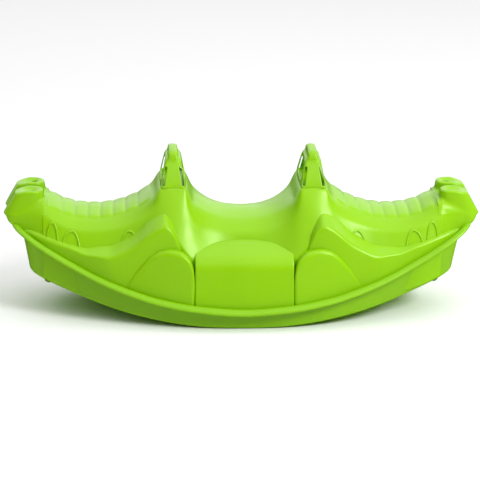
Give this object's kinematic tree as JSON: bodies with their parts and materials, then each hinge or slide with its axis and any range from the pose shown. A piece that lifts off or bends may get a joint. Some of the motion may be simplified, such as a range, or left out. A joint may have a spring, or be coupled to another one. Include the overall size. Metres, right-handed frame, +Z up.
{
  "type": "child rocking seesaw",
  "caption": "Moulded plastic rocking seesaw for small children, crocodile shaped, with ribbed end seats, a middle seat, hand grips and footwells.",
  "frame": {"origin": "on the floor under the middle of the rocker", "axes": "+X along the length towards one snout, +Y across, +Z up"},
  "size_m": [1.0302, 0.4, 0.353],
  "materials": {
    "shell_plastic": "satin moulded polypropylene",
    "tray_plastic": "satin moulded polypropylene",
    "handle_plastic": "satin moulded polypropylene",
    "stop_pad": "matt moulded",
    "screw_steel": "zinc plated"
  },
  "bodies": {
    "root": {"end_stop_front_left": "stop_pad", "end_stop_front_right": "stop_pad", "end_stop_rear_left": "stop_pad", "end_stop_rear_right": "stop_pad", "flank_teeth_front_left": "shell_plastic", "flank_teeth_front_right": "shell_plastic", "flank_teeth_rear_left": "shell_plastic", "flank_teeth_rear_right": "shell_plastic", "footrest_block_front": "shell_plastic", "footrest_block_rear": "shell_plastic", "footrest_lobe_front_left": "shell_plastic", "footrest_lobe_front_right": "shell_plastic", "footrest_lobe_rear_left": "shell_plastic", "footrest_lobe_rear_right": "shell_plastic", "handle_left": "handle_plastic", "handle_right": "handle_plastic", "handle_screws": "screw_steel", "jaw_ledge_front_left": "shell_plastic", "jaw_ledge_front_right": "shell_plastic", "jaw_ledge_rear_left": "shell_plastic", "jaw_ledge_rear_right": "shell_plastic", "rim_lip": "tray_plastic", "rocker_tray": "tray_plastic", "saddle_shell": "shell_plastic", "seat_ribs_left": "shell_plastic", "seat_ribs_right": "shell_plastic", "snout_left": "shell_plastic", "snout_right": "shell_plastic", "tray_webs": "tray_plastic"}
  },
  "joints": []
}
